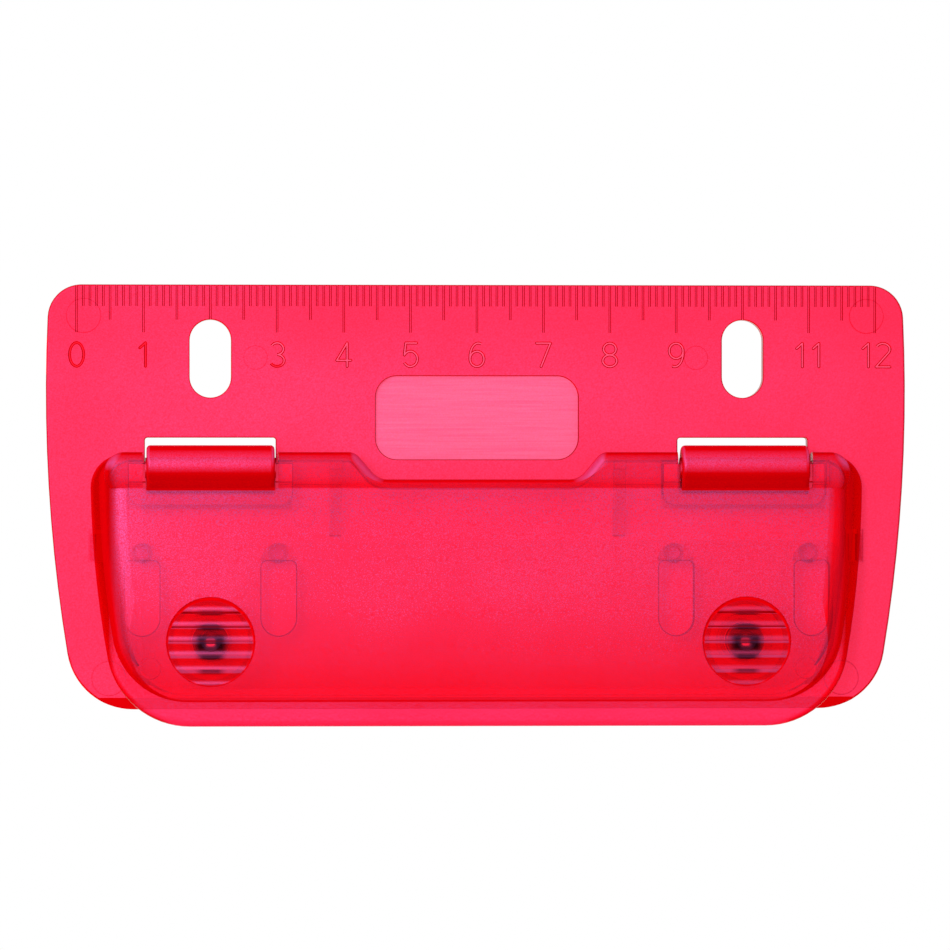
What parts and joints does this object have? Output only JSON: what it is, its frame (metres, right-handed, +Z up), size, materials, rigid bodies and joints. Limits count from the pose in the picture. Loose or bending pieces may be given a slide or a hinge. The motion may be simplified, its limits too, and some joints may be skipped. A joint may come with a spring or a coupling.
{
  "type": "pocket hole punch",
  "caption": "Flat translucent pocket punch for ring binders: a ruler-edged base plate with filing slots, and a hinged lever with press pads that drives cup punches through it.",
  "frame": {"origin": "under the middle of the whole object, on the surface that it lies on", "axes": "+X along the ruler edge, towards its higher numbers; +Y from the lip of the lever towards the ruler edge; +Z up"},
  "size_m": [0.1292, 0.0662, 0.0095],
  "materials": {
    "red_plate": "translucent red polystyrene, satin top",
    "red_lever": "translucent red polystyrene, finely frosted top",
    "clear_red_pad": "clear red, polished",
    "punch_steel": "plain turned steel"
  },
  "bodies": {
    "base": {"base_plate": "red_plate", "guide_bridge": "red_plate"},
    "lever": {"press_lever": "red_lever", "press_pad_left": "clear_red_pad", "press_pad_right": "clear_red_pad", "return_finger_left": "red_lever", "return_finger_right": "red_lever"},
    "punch_left": {"punch_left": "punch_steel"},
    "punch_right": {"punch_right": "punch_steel"}
  },
  "joints": [
    {"name": "lever_hinge", "type": "hinge", "parent": "base", "child": "lever", "pos_m": [0, 0.0054, 0.0056], "axis": [1, 0, 0], "range_deg": [0, 5.57], "stiffness_Nm_per_rad": 0.3, "springref_deg": -5.73, "deforming": ["return_finger_left", "return_finger_right"]},
    {"name": "punch_left_slide", "type": "slide", "parent": "base", "child": "punch_left", "axis": [0, 0, -1], "range_m": [0, 0.0025]},
    {"name": "punch_right_slide", "type": "slide", "parent": "base", "child": "punch_right", "axis": [0, 0, -1], "range_m": [0, 0.0025]}
  ],
  "couplings": [
    {"joint": "punch_left_slide", "follows": "lever_hinge", "m_per_rad": 0.0257},
    {"joint": "punch_right_slide", "follows": "lever_hinge", "m_per_rad": 0.0257}
  ]
}
